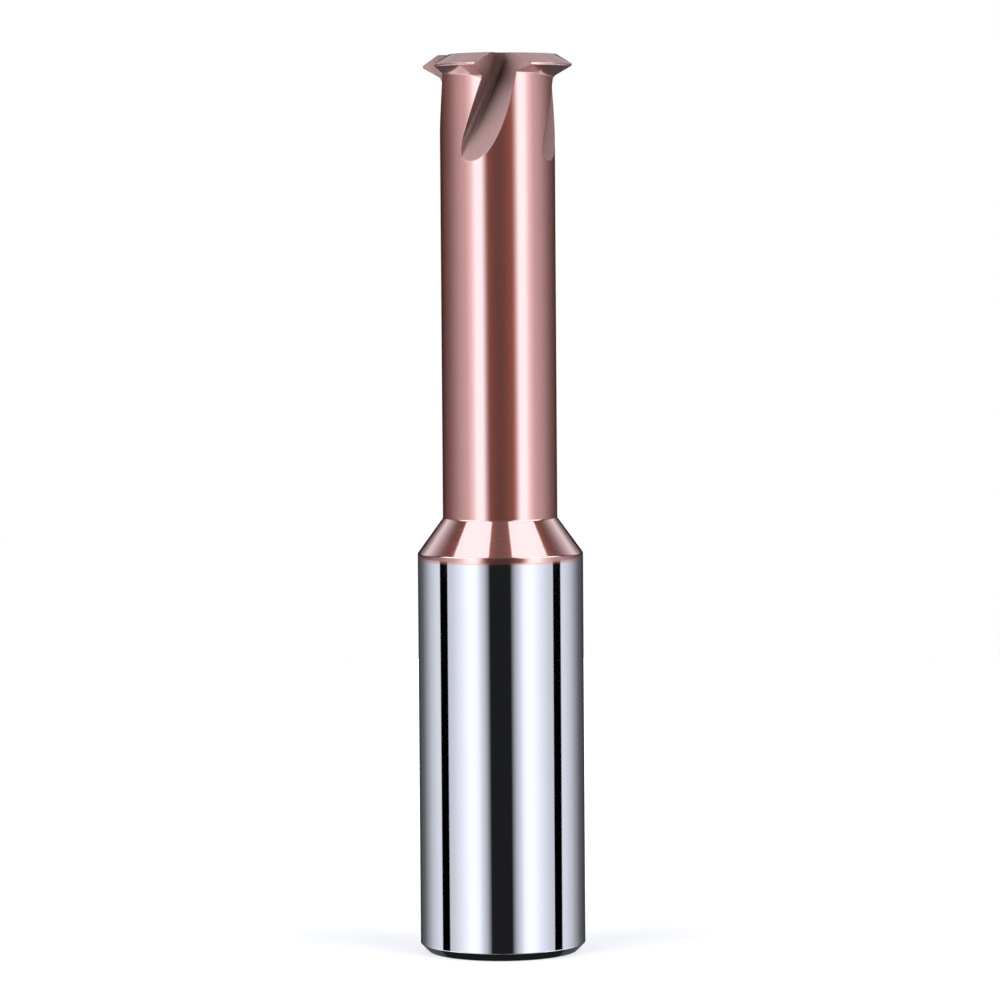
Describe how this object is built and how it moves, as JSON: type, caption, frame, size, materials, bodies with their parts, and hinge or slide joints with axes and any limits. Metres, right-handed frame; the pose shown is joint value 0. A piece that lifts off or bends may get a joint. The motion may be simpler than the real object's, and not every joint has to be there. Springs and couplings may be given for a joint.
{
  "type": "thread mill",
  "caption": "Single-profile thread mill: a round shank, a cone, a slim coated neck and a fluted head whose V-shaped teeth cut internal screw threads.",
  "frame": {"origin": "centre of the flat end of the shank", "axes": "+Z along the tool's axis, from the shank's flat end to the cutting head; -Y is the side the picture shows"},
  "size_m": [0.012, 0.012, 0.065],
  "materials": {
    "coated_carbide": "ground carbide with a copper-coloured coating on head, neck and cone; bright ground shank"
  },
  "bodies": {
    "root": {"thread_mill": "coated_carbide"}
  },
  "joints": []
}
